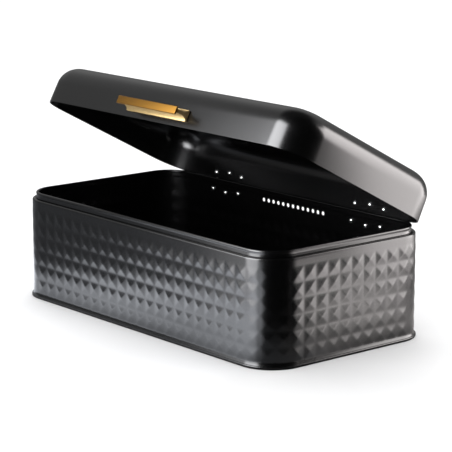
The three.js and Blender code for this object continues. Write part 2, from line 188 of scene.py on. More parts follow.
FRONT_GROUND = 7.2          # brightness of the ground by the front panel
FRONT_GROUND_REACH = 190    # and how far it takes to fade
SIDE_GROUND = 8.0           # the same by the side panel
SIDE_GROUND_REACH = 77
FAR_GROUND = 0.3            # away from both panels
CAMERA_GROUND = 0.35        # next to the bin on the camera's side

ROOM = 1.28                 # brightness of the room, except in reflections
FAR_WALL = 0.56             # brightness in reflections of the walls across from the camera
KEY_AT = (-900, 500, 1900)
KEY_SIZE = (1200, 1200)
KEY_POWER = 12.0

CAMERA_AZIMUTH = math.radians(49.915)
CAMERA_ELEVATION = math.radians(12.299)
CAMERA_ROLL = math.radians(0.087)
CAMERA_AT = (1626.84, -1356.21 + MIDDLE_Y, 558.21)
CAMERA_LENS = 161.37


# ---- Meshes -----------------------------------------------------------------------------------------

def finish_mesh(mesh, material, sharp_degrees=38):
    """Smooth shading that stays crisp at real edges, and the material."""
    mesh.materials.clear()
    mesh.materials.append(material)
    mesh.shade_smooth()
    mesh.set_sharp_from_angle(angle=math.radians(sharp_degrees))


def make_object(name, vertices, faces):
    """An object from vertices in millimetres."""
    mesh = bpy.data.meshes.new(name)
    points = np.asarray(vertices, dtype=float) * MM
    mesh.from_pydata(points.tolist(), [], [list(map(int, face)) for face in faces])
    mesh.update()
    piece = bpy.data.objects.new(name, mesh)
    bpy.context.scene.collection.objects.link(piece)
    return piece


def apply_modifiers(piece):
    """Bakes a piece's modifiers into its mesh."""
    graph = bpy.context.evaluated_depsgraph_get()
    mesh = bpy.data.meshes.new_from_object(piece.evaluated_get(graph))
    piece.modifiers.clear()
    piece.data = mesh


def combine(piece, others, operation):
    """Joins other solids to a piece, or cuts them out of it, and removes them."""
    for other in others:
        modifier = piece.modifiers.new(operation.lower(), "BOOLEAN")
        modifier.operation = operation
        modifier.solver = "EXACT"
        modifier.object = other
    apply_modifiers(piece)
    for other in others:
        bpy.data.objects.remove(other)


def soften(piece, width, segments=2, degrees=40):
    """Rounds the edges that are sharper than the angle."""
    modifier = piece.modifiers.new("edge", "BEVEL")
    modifier.width = width * MM
    modifier.segments = segments
    modifier.limit_method = "ANGLE"
    modifier.angle_limit = math.radians(degrees)
    apply_modifiers(piece)


def place(piece, body, material, slot, *nodes, turned=False, sharp_degrees=38):
    """Finishes a piece and gives it to the frame: its body and the nodes that it stands for. The slot is
    not used.
    """
    if turned:
        piece.data.transform(LID_TURN)
    finish_mesh(piece.data, material, sharp_degrees)
    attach(piece, body)
    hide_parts(*nodes)


def arc(centre_inset, centre_z, radius, start, end, steps):
    """A round stretch of a section as (inset, z); 0 degrees points outwards and 90 up."""
    angles = np.radians(np.linspace(start, end, steps + 1))
    return [
        (centre_inset - radius * math.cos(a), centre_z + radius * math.sin(a)) for a in angles
    ]


def lathe(name, profile, axis, steps=32):
    """Turns a profile of (radius, distance along the axis), which starts and ends on the axis."""
    inner = profile[1:-1]
    vertices = [(0.0, 0.0, profile[0][1])]
    for radius, along in inner:
        for step in range(steps):
            angle = 2 * math.pi * step / steps
            vertices.append((radius * math.cos(angle), radius * math.sin(angle), along))
    vertices.append((0.0, 0.0, profile[-1][1]))
    last = len(vertices) - 1
    faces = []
    for step in range(steps):
        following = (step + 1) % steps
        faces.append((0, 1 + following, 1 + step))
        for row in range(len(inner) - 1):
            low = 1 + row * steps
            faces.append((low + step, low + following, low + steps + following, low + steps + step))
        top = 1 + (len(inner) - 1) * steps
        faces.append((last, top + step, top + following))
    turn = {"x": (2, 0, 1), "y": (1, 2, 0), "z": (0, 1, 2)}[axis]
    return make_object(name, np.array(vertices)[:, turn], faces)


def prism(name, outline, from_x, to_x):
    """A section in (y, z), anticlockwise as seen from +X, pushed along X."""
    count = len(outline)
    vertices = [(from_x, y, z) for y, z in outline] + [(to_x, y, z) for y, z in outline]
    faces = [tuple(reversed(range(count))), tuple(range(count, 2 * count))]
    faces += [(i, (i + 1) % count, count + (i + 1) % count, count + i) for i in range(count)]
    return make_object(name, vertices, faces)


def moved(piece, x=0.0, y=0.0, z=0.0):
    piece.data.transform(Matrix.Translation(Vector((x, y, z)) * MM))
    return piece


# ---- The outline in plan ----------------------------------------------------------------------------

class Outline:
    """A rounded rectangle, walked anticlockwise from the middle of the front."""

    def __init__(self):
        corner_x = HALF_X - CORNER_RADIUS
        corner_y = HALF_Y - CORNER_RADIUS
        quarter = math.pi / 2 * CORNER_RADIUS
        lengths = [corner_x] + [quarter, 2 * corner_y, quarter, 2 * corner_x] * 2
        lengths[-1] = corner_x
        self.ends = np.cumsum(lengths)
        self.length = self.ends[-1]
        self.centres = [
            (corner_x, -corner_y), (corner_x, corner_y), (-corner_x, corner_y), (-corner_x, -corner_y),
        ]

    def at(self, distances):
        """Points of the outline and the ways out of it, as two arrays of (x, y)."""
        points = []
        outwards = []
        for distance in distances:
            stretch = int(min(np.searchsorted(self.ends, distance, side="right"), 8))
            start = self.ends[stretch - 1] if stretch else 0.0
            corner, is_round = divmod(stretch, 2)
            heading = corner * math.pi / 2
            if is_round:
                angle = heading - math.pi / 2 + (distance - start) / CORNER_RADIUS
                out = np.array((math.cos(angle), math.sin(angle)))
                points.append(np.array(self.centres[corner]) + CORNER_RADIUS * out)
            else:
                out = np.array((math.sin(heading), -math.cos(heading)))
                along = np.array((math.cos(heading), math.sin(heading)))
                front_middle = (0.0, self.centres[0][1])
                centre = np.array(self.centres[corner - 1] if stretch else front_middle)
                points.append(centre + CORNER_RADIUS * out + (distance - start) * along)
            outwards.append(out)
        points = np.array(points) + (0.0, MIDDLE_Y)
        return points, np.array(outwards)

    def plain_places(self, corner_steps, straight_steps):
        """Distances along the outline, close together in the corners."""
        places = []
        start = 0.0
        for stretch, end in enumerate(self.ends):
            steps = corner_steps if stretch % 2 else straight_steps
            places += list(np.linspace(start, end, steps, endpoint=False))
            start = end
        return np.array(places)


outline = Outline()
CELL = outline.length / (4 * QUARTER_CELLS)


def band(first, second, count):
    """Quads between two rings of vertices, which face outwards where the second ring is the upper one."""
    return [
        (first + i, first + (i + 1) % count, second + (i + 1) % count, second + i) for i in range(count)
    ]


def dish(name, profile, under_crown, top_crown, corner_steps=24, straight_steps=6):
    """A dish: the profile runs from the underside's panel round the edge to the top side's panel."""
    points, outwards = outline.at(outline.plain_places(corner_steps, straight_steps))
    count = len(points)
    middle = np.array((0.0, MIDDLE_Y))
    shrinks = (0.97, 0.9, 0.75, 0.5, 0.25)

    def cap(inset, z, rise, scales):
        rim = points - inset * outwards
        for scale in scales:
            heights = np.full(count, z + rise * (1 - scale**2))
            yield np.column_stack((middle + (rim - middle) * scale, heights))

    rings = list(cap(*profile[0], under_crown, reversed(shrinks)))
    rings += [np.column_stack((points - inset * outwards, np.full(count, z))) for inset, z in profile]
    rings += list(cap(*profile[-1], top_crown, shrinks))
    vertices = np.vstack(rings + [(0.0, MIDDLE_Y, profile[0][1] + under_crown)]
                         + [(0.0, MIDDLE_Y, profile[-1][1] + top_crown)])
    faces = []
    for i in range(len(rings) - 1):
        faces += band(i * count, (i + 1) * count, count)
    under, top = len(rings) * count, len(rings) * count + 1
    last = (len(rings) - 1) * count
    faces += [(under, (i + 1) % count, i) for i in range(count)]
    faces += [(top, last + i, last + (i + 1) % count) for i in range(count)]
    return make_object(name, vertices, faces)


# ---- The wall ---------------------------------------------------------------------------------------

def pyramid(u, v):
    """Height of an embossed pyramid, 0 to 1, for u and v from -1 to 1 across its cell.

    Its faces are hollow: steep at the tip, which is slightly blunt, and flat at the cell's edges.
    """
    ridge = 14      # higher is sharper
    tip = 0.07
    hollow = 1.35
    away = (np.abs(u) ** ridge + np.abs(v) ** ridge) ** (1 / ridge)
    away = np.clip(away, 0, 1)
    away = (np.sqrt(away**2 + tip**2) - tip) / (math.sqrt(1 + tip**2) - tip)
    return (1 - away) ** hollow


def emboss(cells, z, heights, plain_cells):
    """How far the sheet stands out, at places given in cells along the outline and at one height."""
    rows = (z - EMBOSS_BOTTOM) / CELL
    if not 0 < rows < CELL_ROWS:
        return np.zeros(len(cells))
    u = 2 * (cells % 1) - 1
    v = 2 * (rows % 1) - 1
    height = heights * pyramid(u, np.full(len(cells), v))
    if rows > CELL_ROWS - 1:
        height[plain_cells] = 0
    return height


def flare(z):
    """How far the wall's foot turns out at a height."""
    start = HEM_HEIGHT + 0.2
    return FLARE * np.clip((FLARE_START - z) / (FLARE_START - start), 0, 1) ** 2


def wall_sections():
    """The outside from the foot to the top of the pyramids, the head, and the inside back down."""
    top = EMBOSS_BOTTOM + CELL_ROWS * CELL
    # The foot's heights are close together where it turns out into the hem.
    foot = [1.6, 2.4, HEM_HEIGHT, 3.6, 4.1, 4.8]
    rows = list(np.linspace(EMBOSS_BOTTOM, top, CELL_ROWS * CELL_STEPS + 1))
    ledge = LEDGE_HEIGHT - LEDGE_RADIUS
    fillet = 0.5
    head = [(0.0, top + 0.6), (0.0, top + 3.5), (0.0, ledge - 1.5)]
    head += arc(LEDGE_RADIUS, ledge, LEDGE_RADIUS, 0, 90, 8)
    head += [(NECK_INSET - fillet - 0.4, LEDGE_HEIGHT)]
    head += [
        (NECK_INSET - fillet * math.cos(a), LEDGE_HEIGHT + fillet * (1 - math.sin(a)))
        for a in np.radians((90, 60, 30, 0))
    ]
    head += [(NECK_INSET, NECK_OUTSIDE_END)]
    head += arc(BEAD_INSET, NECK_TOP - BEAD_RADIUS, BEAD_RADIUS, -42, 222, 22)
    head += [(NECK_INSET + SHEET, NECK_INSIDE_END), (NECK_INSET + SHEET, LEDGE_HEIGHT)]
    head += arc(LEDGE_RADIUS, ledge, LEDGE_RADIUS - SHEET, 90, 0, 5)
    head += [(SHEET, ledge - 1.5), (SHEET, top + 3.5), (SHEET, top + 0.6)]
    return foot, rows, head


def bin_wall(material):
    """The embossed wall: one thin sheet, dented from the inside, with the ledge, neck and rolled edge."""
    cell_count = 4 * QUARTER_CELLS
    count = cell_count * CELL_STEPS
    cells = np.arange(count) / CELL_STEPS
    points, outwards = outline.at(cells * CELL)
    _, cell_outwards = outline.at((np.floor(cells) + 0.5) * CELL)
    plain_cells = cell_outwards[:, 1] > 0.999
    bent = np.abs(cell_outwards).max(axis=1) < 0.999
    heights = np.where(bent, CORNER_EMBOSS_HEIGHT, EMBOSS_HEIGHT)
    foot, rows, head = wall_sections()

    rings = []

    def ring(insets, z):
        rings.append(np.column_stack((points - np.multiply(outwards.T, insets).T, np.full(count, z))))

    for z in foot + rows:
        ring(np.full(count, -flare(z)) - emboss(cells, z, heights, plain_cells), z)
    for inset, z in head:
        ring(np.full(count, inset), z)
    for z in reversed(foot + rows):
        ring(np.full(count, SHEET - flare(z)) - emboss(cells, z, heights, plain_cells), z)

    faces = []
    outside = range(len(foot), len(foot) + len(rows) - 1)
    inside = range(len(rings) - len(foot) - len(rows), len(rings) - len(foot) - 1)
    column = np.arange(count) % CELL_STEPS + 0.5 - CELL_STEPS / 2
    for i in range(len(rings)):
        following = (i + 1) % len(rings)
        quads = band(i * count, following * count, count)
        if i in outside:
            level = (i - outside[0]) % CELL_STEPS + 0.5 - CELL_STEPS / 2
        elif i in inside:
            level = CELL_STEPS / 2 - (i - inside[0]) % CELL_STEPS - 0.5
        else:
            faces += quads
            continue
        side = 1 if i in outside else -1
        for (a, b, c, d), across in zip(quads, column * level * side):
            # The pyramids' ridges run along the quads' diagonals, so each quad is split along its own.
            faces += [(a, b, c), (a, c, d)] if across > 0 else [(a, b, d), (b, c, d)]
    piece = make_object("bin_wall_sheet", np.vstack(rings), faces)
    combine(piece, [vents(), shank_holes(rivet_nodes("bin"), turned=False)], "DIFFERENCE")
    place(piece, "bin", material, "enamel", "bin_wall", sharp_degrees=50)


def bar(radius, x, z, from_y, to_y, steps=32):
    """A round bar along Y, used as a cutter."""
    profile = [(0, from_y), (radius, from_y), (radius, to_y), (0, to_y)]
    return moved(lathe("cutter", profile, "y", steps), x=x, z=z)


def joined(pieces):
    """Several separate solids as one object."""
    with bpy.context.temp_override(active_object=pieces[0], selected_editable_objects=pieces):
        bpy.ops.object.join()
    return pieces[0]


def vents():
    """Cutters for the row of vents, joined in one object."""
    back = MIDDLE_Y + HALF_Y
    through = 4
    places = (np.arange(VENT_COUNT) - (VENT_COUNT - 1) / 2) * VENT_PITCH
    return joined([bar(VENT_RADIUS, x, VENT_HEIGHT, back - through, back + through) for x in places])


def shank_holes(nodes, turned, before=1):
    """Cutters for the shanks of rivets or screws, joined; they start that far in front of them."""
    cutters = []
    for node in nodes:
        low, high = box_of(node, turned)
        middle = (low + high) / 2
        radius = RIVET_RADIUS + HOLE_GAP
        cutters.append(bar(radius, middle[0], middle[2], low[1] - before, high[1] + 1, 20))
    return joined(cutters)


# ---- Rivets -----------------------------------------------------------------------------------------

def rivet_nodes(body):
    return [f"rivet_{hand}_{body}_{side}" for hand in HANDS for side in ("left", "middle", "right")]


def rivet(node, body, material):
    """A smooth domed head inside, a shank, and a low closed head outside."""
    low, high = box_of(node, turned=body == "lid")
    middle = (low + high) / 2
    head_base = low[1] + RIVET_HEAD_HEIGHT
    tail_base = high[1] - RIVET_TAIL_HEIGHT
    edge = 0.1
    under_head = head_base + 0.12
    profile = [(0.0, low[1])]
    for angle in np.radians(np.linspace(0, 90, 11))[1:]:
        profile.append((RIVET_HEAD * math.sin(angle), head_base - RIVET_HEAD_HEIGHT * math.cos(angle)))
    profile += [(RIVET_HEAD - edge, under_head), (RIVET_RADIUS, under_head)]
    profile += [(RIVET_RADIUS, tail_base), (RIVET_TAIL - edge, tail_base)]
    for angle in np.radians(np.linspace(0, 80, 7)):
        rise = edge + (RIVET_TAIL_HEIGHT - edge) * math.sin(angle)
        profile.append((RIVET_TAIL * math.cos(angle), tail_base + rise))
    profile.append((0.0, high[1]))
    piece = moved(lathe(node + "_metal", profile, "y"), x=middle[0], z=middle[2])
    place(piece, body, material, "steel", node, turned=body == "lid")


# ---- Base and lid -----------------------------------------------------------------------------------

def base_plate(material):
    """The panel, raised off the ground, and the hem folded round the foot of the wall."""
    hem_middle = -HEM_OUT + HEM_RADIUS
    mouth = -FLARE - 0.15
    slope_width = 3.5
    slope = [
        (FOOT_RING + slope_width * t, PANEL_RISE * (3 * t**2 - 2 * t**3)) for t in np.linspace(1, 0, 9)
    ]
    profile = list(slope)
    profile += arc(hem_middle, HEM_RADIUS, HEM_RADIUS, -90, 0, 6)
    profile += arc(hem_middle, HEM_HEIGHT - HEM_RADIUS, HEM_RADIUS, 0, 90, 6)
    profile += [(mouth, HEM_HEIGHT), (mouth, HEM_HEIGHT - 0.3), (mouth - 0.15, HEM_HEIGHT - SHEET)]
    profile += [(-HEM_OUT + SHEET, HEM_HEIGHT - HEM_RADIUS), (-HEM_OUT + SHEET, HEM_RADIUS)]
    profile += [(hem_middle, SHEET)]
    profile += [(inset, z + SHEET) for inset, z in reversed(slope)]
    piece = dish("base_panel", profile, 0.0, 0.0)
    place(piece, "bin", material, "enamel", "base_plate")


def lid_shell(material):
    """One shell with a large rounded top edge and a folded rim."""
    shoulder = LID_TOP - LID_CROWN - LID_EDGE_RADIUS
    edge_middle = LID_EDGE_RADIUS + LID_DRAFT - LID_OUT
    hem_radius = LID_HEM / 2
    hem_middle = -LID_OUT + hem_radius
    profile = arc(edge_middle, shoulder, LID_EDGE_RADIUS - SHEET, 90, 0, 18)
    profile += [(-LID_OUT + SHEET, LID_RIM + LID_HEM_HEIGHT + 0.8)]
    profile += [(-LID_OUT + SHEET, LID_RIM + LID_HEM_HEIGHT)]
    profile += [(-LID_OUT + LID_HEM - 0.15, LID_RIM + LID_HEM_HEIGHT)]
    profile += [(-LID_OUT + LID_HEM, LID_RIM + LID_HEM_HEIGHT - 0.15)]
    profile += arc(hem_middle, LID_RIM + hem_radius, hem_radius, -180, -360, 12)
    profile += [(-LID_OUT + 0.05 * LID_DRAFT, LID_RIM + 2), (-LID_OUT + 0.45 * LID_DRAFT, LID_RIM + 11)]
    profile += arc(edge_middle, shoulder, LID_EDGE_RADIUS, 0, 90, 18)
    piece = dish("lid_pressing", profile, LID_CROWN, LID_CROWN, corner_steps=36, straight_steps=10)
    screws = [f"handle_screw_{hand}" for hand in HANDS]
    holes = [shank_holes(rivet_nodes("lid"), turned=True), shank_holes(screws, turned=True, before=0)]
    combine(piece, holes, "DIFFERENCE")
    place(piece, "lid", material, "enamel", "lid_shell", turned=True)


# ---- Handle -----------------------------------------------------------------------------------------

def handle(material):
    """A drawn bar: a foot against the lid, hollow sides, a web and a flat grip with broken edges."""
    low, high = box_of("handle", turned=True)
    middle = (low[2] + high[2]) / 2
    foot_half = (high[2] - low[2]) / 2
    reach = high[1] - low[1]
    grip_back = reach - GRIP_THICKNESS
    upper = [(0.0, foot_half)]
    for angle in np.radians(np.linspace(0, 90, 13)):
        out = FOOT_EDGE + (COVE_END - FOOT_EDGE) * (1 - math.cos(angle))
        upper.append((out, foot_half - (foot_half - WEB_HALF) * math.sin(angle)))
    upper += [(grip_back - 0.8, WEB_HALF), (grip_back, WEB_HALF + 0.5), (grip_back, GRIP_HALF)]
    upper += [(reach - GRIP_CHAMFER, GRIP_HALF), (reach, GRIP_HALF - GRIP_CHAMFER)]
    lower = [(out, -up) for out, up in reversed(upper)]
    section = [(high[1] - out, middle + up) for out, up in upper + lower]
    piece = prism("handle_bar", section, low[0], high[0])
    soften(piece, 0.18)
    place(piece, "lid", material, "brass", "handle", turned=True, sharp_degrees=30)


def handle_screw(node, material):
    """A pan head with a cross slot, inside the lid, and its shank into the handle."""
    low, high = box_of(node, turned=True)
    middle = (low + high) / 2
    head_radius = (high[0] - low[0]) / 2
    base = high[1] - SCREW_HEAD_HEIGHT
    point, edge = 0.4, 0.15
    profile = [(0.0, low[1]), (RIVET_RADIUS - point, low[1]), (RIVET_RADIUS, low[1] + point)]
    profile += [(RIVET_RADIUS, base), (head_radius - edge, base), (head_radius, base + edge)]
    profile += [(head_radius, base + 0.5 * SCREW_HEAD_HEIGHT)]
    for angle in np.radians(np.linspace(15, 75, 6)):
        rise = SCREW_HEAD_HEIGHT * (0.5 + 0.5 * math.sin(angle))
        profile.append((head_radius * math.cos(angle), base + rise))
    profile.append((0.0, high[1]))
    piece = moved(lathe(node + "_metal", profile, "y"), x=middle[0], z=middle[2])
    slots = []
    bottom, above = high[1] - SLOT_DEPTH, high[1] + 1
    halves = (SLOT_HALF_LENGTH, SLOT_HALF_WIDTH)
    for half_x, half_z in (halves, reversed(halves)):
        section = [
            (bottom, middle[2] - half_z), (above, middle[2] - half_z),
            (above, middle[2] + half_z), (bottom, middle[2] + half_z),
        ]
        slots.append(prism("cutter", section, middle[0] - half_x, middle[0] + half_x))
    combine(piece, slots, "DIFFERENCE")
    place(piece, "lid", material, "steel", node, turned=True)


# ---- Hinges -----------------------------------------------------------------------------------------

def leaf_plate(name, half_x, shoulder, reach, back_y, up):
    """The flat plate, about the pin: straight ends, round corners and a nose in the middle."""
    corner_x = half_x - LEAF_CORNER
    points = [(-half_x, LEAF_START), (half_x, LEAF_START)]
    for angle in np.radians(np.linspace(0, 90, 9)):
        points.append((corner_x + LEAF_CORNER * math.cos(angle), shoulder + LEAF_CORNER * math.sin(angle)))
    points += [(LEAF_NOSE_HALF, reach), (-LEAF_NOSE_HALF, reach)]
    for angle in np.radians(np.linspace(90, 180, 9)):
        points.append((-corner_x + LEAF_CORNER * math.cos(angle), shoulder + LEAF_CORNER * math.sin(angle)))
    if up < 0:
        points = [(x, -z) for x, z in reversed(points)]
    count = len(points)
    vertices = [(x, back_y, z) for x, z in points] + [(x, back_y + LEAF_THICKNESS, z) for x, z in points]
    faces = [tuple(range(count)), tuple(reversed(range(count, 2 * count)))]
    faces += [(i, count + i, count + (i + 1) % count, (i + 1) % count) for i in range(count)]
    return make_object(name, vertices, faces)


def knuckle(from_x, to_x, back_y, up):
    """The plate's edge carried round the pin: a curl of sheet that ends just short of itself."""
    face_y = back_y + LEAF_THICKNESS
    angles = np.linspace(math.radians(112), math.radians(-218), 34)
    outer = [(KNUCKLE_RADIUS * math.cos(a), KNUCKLE_RADIUS * math.sin(a)) for a in angles]
    inner = [(KNUCKLE_BORE * math.cos(a), KNUCKLE_BORE * math.sin(a)) for a in reversed(angles)]
    overlap = 0.6
    lead = [(back_y, LEAF_START + overlap), (face_y, LEAF_START + overlap)]
    throat = [(-3.1, 1.62), (-3.6, 2.4), (-4.6, 3.3), (back_y + 0.2, LEAF_START - 0.5)]
    section = lead + outer + inner[:-1] + throat
    section = [(y, z * up) for y, z in section]
    if up > 0:
        section.reverse()
    return prism("knuckle", section, from_x, to_x)


def hinge_leaf(hand, body, material):
    """A leaf with its plate and its knuckles."""
    node = f"hinge_{hand}_{body}_leaf"
    on_lid = body == "lid"
    up = 1 if on_lid else -1
    low, high = box_of(node, turned=on_lid)
    middle_x = (low[0] + high[0]) / 2
    half_x = (high[0] - low[0]) / 2
    reach = high[2] - pin_z if on_lid else pin_z - low[2]
    back_y = low[1] - pin_y
    piece = leaf_plate(node + "_metal", half_x, reach - LEAF_NOSE_LENGTH, reach, back_y, up)
    start = LID_KNUCKLE_HALF + KNUCKLE_GAP
    spans = [(-half_x, -start), (start, half_x)]
    if on_lid:
        spans = [(-LID_KNUCKLE_HALF, LID_KNUCKLE_HALF)]
    combine(piece, [knuckle(a, b, back_y, up) for a, b in spans], "UNION")
    moved(piece, middle_x, pin_y, pin_z)
    soften(piece, 0.12, degrees=50)
    place(piece, body, material, "steel", node, turned=on_lid, sharp_degrees=40)


def hinge_pin(hand, material):
    """A pin with a low domed head at either end."""
    node = f"hinge_{hand}_pin"
    low, high = box_of(node)
    middle_x, end = (low[0] + high[0]) / 2, (high[0] - low[0]) / 2
    head_radius = (high[2] - low[2]) / 2
    half = [(PIN_RADIUS, end - PIN_HEAD_HEIGHT), (head_radius, end - PIN_HEAD_HEIGHT)]
    for angle in np.radians(np.linspace(0, 75, 6)):
        dome = 0.8 * PIN_HEAD_HEIGHT * (1 - math.sin(angle))
        half.append((head_radius * math.cos(angle), end - dome))
    left = [(radius, -along) for radius, along in reversed(half)]
    profile = [(0.0, -end)] + left + half + [(0.0, end)]
    piece = moved(lathe(node + "_metal", profile, "x"), middle_x, pin_y, pin_z)
    place(piece, "bin", material, "steel", node)


# ---- Materials --------------------------------------------------------------------------------------

class Finish:
    """A material's nodes, with textures that follow the object's own coordinates."""

    def __init__(self, name, base_color, metallic, roughness):
        self.material = bpy.data.materials.new(name)
        self.material.use_nodes = True
        self.tree = self.material.node_tree
        self.shader = self.tree.nodes["Principled BSDF"]
        self.set("Base Color", (*base_color, 1))
        self.set("Metallic", metallic)
        self.set("Roughness", roughness)
        self.coordinates = self.node("ShaderNodeTexCoord").outputs["Object"]

    def node(self, kind, **values):
        made = self.tree.nodes.new(kind)
        for key, value in values.items():
            setattr(made, key, value)
        return made

    def set(self, socket, value):
        self.shader.inputs[socket].default_value = value

    def link(self, output, socket):
        self.tree.links.new(output, socket)

    def noise(self, per_mm, detail=2.0, roughness=0.5, stretch=(1, 1, 1)):
        """Noise with that many features to the millimetre; stretch scales it along each axis."""
        mapping = self.node("ShaderNodeMapping")
        mapping.inputs["Scale"].default_value = [per_mm / MM * s for s in stretch]
        self.link(self.coordinates, mapping.inputs["Vector"])
        texture = self.node("ShaderNodeTexNoise")
        texture.inputs["Scale"].default_value = 1.0
        texture.inputs["Detail"].default_value = detail
        texture.inputs["Roughness"].default_value = roughness
        self.link(mapping.outputs["Vector"], texture.inputs["Vector"])
        return texture.outputs["Fac"]

    def ranged(self, value, low, high, from_low=0.3, from_high=0.7):
        """A texture's middle range turned into low to high."""
        node = self.node("ShaderNodeMapRange")
        node.inputs["From Min"].default_value = from_low
        node.inputs["From Max"].default_value = from_high
        node.inputs["To Min"].default_value = low
        node.inputs["To Max"].default_value = high
        self.link(value, node.inputs["Value"])
        return node.outputs["Result"]

    def color_between(self, value, first, second):
        node = self.node("ShaderNodeMix", data_type="RGBA")
        node.inputs[6].default_value = (*first, 1)
        node.inputs[7].default_value = (*second, 1)
        self.link(value, node.inputs["Factor"])
        self.link(node.outputs[2], self.shader.inputs["Base Color"])

    def bump(self, height, distance_mm, strength=1.0):
        """Bumps whose full height is that distance."""
        node = self.node("ShaderNodeBump")
        node.inputs["Strength"].default_value = strength
        node.inputs["Distance"].default_value = distance_mm * MM
        self.link(height, node.inputs["Height"])
        if self.shader.inputs["Normal"].is_linked:
            self.link(self.shader.inputs["Normal"].links[0].from_socket, node.inputs["Normal"])
        self.link(node.outputs["Normal"], self.shader.inputs["Normal"])


def enamel():
    """Satin black enamel: a faint waviness, a finer grain, and slight smears in its gloss."""
    look = Finish("satin_black_enamel", (0.0002, 0.0002, 0.0003), 0.0, 0.23)
    smears = look.noise(0.02, detail=3.0)
    look.link(look.ranged(smears, 0.22, 0.24), look.shader.inputs["Roughness"])
    look.color_between(look.ranged(smears, 0, 1), (0.0001, 0.0002, 0.0002), (0.0003, 0.0003, 0.0004))
    look.bump(look.noise(0.03, detail=0.0), 0.03)
    look.bump(look.noise(0.6, detail=1.0), 0.0008)
    return look.material


def brass():
    """Satin brass, brushed along its length: brown on the grip, with a painted highlight that makes it
    paler in the coves and on the foot.
    """
    look = Finish("brushed_brass", GRIP_COLOR, 1.0, 0.5)
    lines = look.noise(5.0, detail=3.0, roughness=0.65, stretch=(0.012, 1, 1))
    low, _ = box_of("handle", turned=True)
    grip_face = LID_TURN @ (Vector((0, low[1], low[2])) * MM)
    inwards = LID_TURN.to_3x3() @ Vector((0, 1, 0))
    depth = look.node("ShaderNodeVectorMath", operation="DOT_PRODUCT")
    depth.inputs[1].default_value = inwards
    look.link(look.coordinates, depth.inputs[0])
    face_depth = grip_face.dot(inwards)
    grip_end, highlight_start = face_depth + GRIP_DEPTH * MM, face_depth + COVE_HIGHLIGHT_DEPTH * MM
    # Painted highlight: the colour turns from the grip's brown to the paler gold with depth behind the
    # grip's face.
    painted_highlight = look.ranged(depth.outputs["Value"], 0, 1, grip_end, highlight_start)
    look.color_between(painted_highlight, GRIP_COLOR, COVE_HIGHLIGHT_COLOR)
    look.link(look.ranged(lines, 0.46, 0.54), look.shader.inputs["Roughness"])
    look.bump(lines, 0.014)
    return look.material


def steel():
    """Bright plated steel with a fine irregular grain."""
    look = Finish("bright_steel", (0.78, 0.78, 0.79), 1.0, 0.2)
    grain = look.noise(0.6, detail=3.0)
    look.link(look.ranged(grain, 0.17, 0.24), look.shader.inputs["Roughness"])
    look.color_between(look.ranged(grain, 0, 1), (0.7, 0.7, 0.71), (0.83, 0.83, 0.83))
    look.bump(grain, 0.0015)
    return look.material


# ---- Floor, light and camera ------------------------------------------------------------------------

def floor():
    half = 9000
    piece = make_object("floor", [(-half, -half, 0), (half, -half, 0), (half, half, 0), (-half, half, 0)],
                        [(0, 1, 2, 3)])
    look = Finish("pale_floor", (0.86, 0.86, 0.865), 0.0, 0.7)
    look.set("Specular IOR Level", 0.1)
    look.bump(look.noise(0.3), 0.02)
    piece.data.materials.append(look.material)
    piece.visible_glossy = False


def glowing_card(name, vertices, faces, light):
    """A card that only reflections see, with the red, green and blue of its light at every vertex."""
    piece = make_object(name, vertices, faces)
    attribute = piece.data.attributes.new("glow", "FLOAT_COLOR", "POINT")
    attribute.data.foreach_set("color", np.column_stack((light, np.ones(len(light)))).ravel())
    material = bpy.data.materials.new(name)
    material.use_nodes = True
    tree = material.node_tree
    tree.nodes.clear()
    output = tree.nodes.new("ShaderNodeOutputMaterial")
    shader = tree.nodes.new("ShaderNodeEmission")
    reader = tree.nodes.new("ShaderNodeAttribute")
    reader.attribute_name = "glow"
    tree.links.new(reader.outputs["Color"], shader.inputs["Color"])
    tree.links.new(shader.outputs["Emission"], output.inputs["Surface"])
    piece.data.materials.append(material)
    piece.visible_camera = False
    piece.visible_diffuse = False
    piece.visible_shadow = False
    piece.visible_transmission = False


def smooth(value, start, end):
    """0 before start and 1 after end, with a soft change between."""
    t = np.clip((value - start) / (end - start), 0, 1)
    return t * t * (3 - 2 * t)


def along_line(points, steps):
    """Evenly spaced points along a line in plan, and how far along each is, from 0 to 1."""
    points = np.array(points, dtype=float)
    lengths = np.concatenate(([0], np.cumsum(np.linalg.norm(np.diff(points, axis=0), axis=1))))
    share = np.linspace(0, 1, steps + 1)
    at = share * lengths[-1]
    return np.column_stack([np.interp(at, lengths, points[:, axis]) for axis in (0, 1)]), share


def panel(name, line, top_line, height, glows, color, steps=30, levels=16):
    """An upright panel, with a glow at its foot and another above, that fades over its edges."""
    low_glow, high_glow = glows
    low_plan, share = along_line(line, steps)
    top_plan, _ = along_line(top_line, steps)
    vertices = []
    glow = []
    for level in np.linspace(0, 1, levels + 1):
        # The plan turns from the foot's into the top's in this part of the height.
        lean = smooth(level, 0.1, 0.35)
        for (x, y), along in zip(low_plan * (1 - lean) + top_plan * lean, share):
            vertices.append((x, y, 2 + level * height))
            # A dim strip at the start, the full glow after it, and a fade at the end and the top.
            strip = DIM_SHARE * smooth(along, -0.04, 0.05) + (1 - DIM_SHARE) * smooth(along, 0.16, 0.32)
            ends = strip * smooth(1 - along, -0.02, 0.1)
            bright = low_glow + (high_glow - low_glow) * smooth(level * height, 20, 260)
            glow.append(bright * ends * (1 - 0.85 * smooth(level, 0.8, 1)))
    row = steps + 1
    faces = [
        (i * row + j, i * row + j + 1, (i + 1) * row + j + 1, (i + 1) * row + j)
        for i in range(levels) for j in range(steps)
    ]
    glowing_card(name, vertices, faces, np.outer(glow, color))


def distance_to(line, places):
    """How far places are from a line in plan."""
    plan, _ = along_line(line, 60)
    return np.min(np.linalg.norm(places[:, None, :] - plan[None, :, :], axis=2), axis=1)


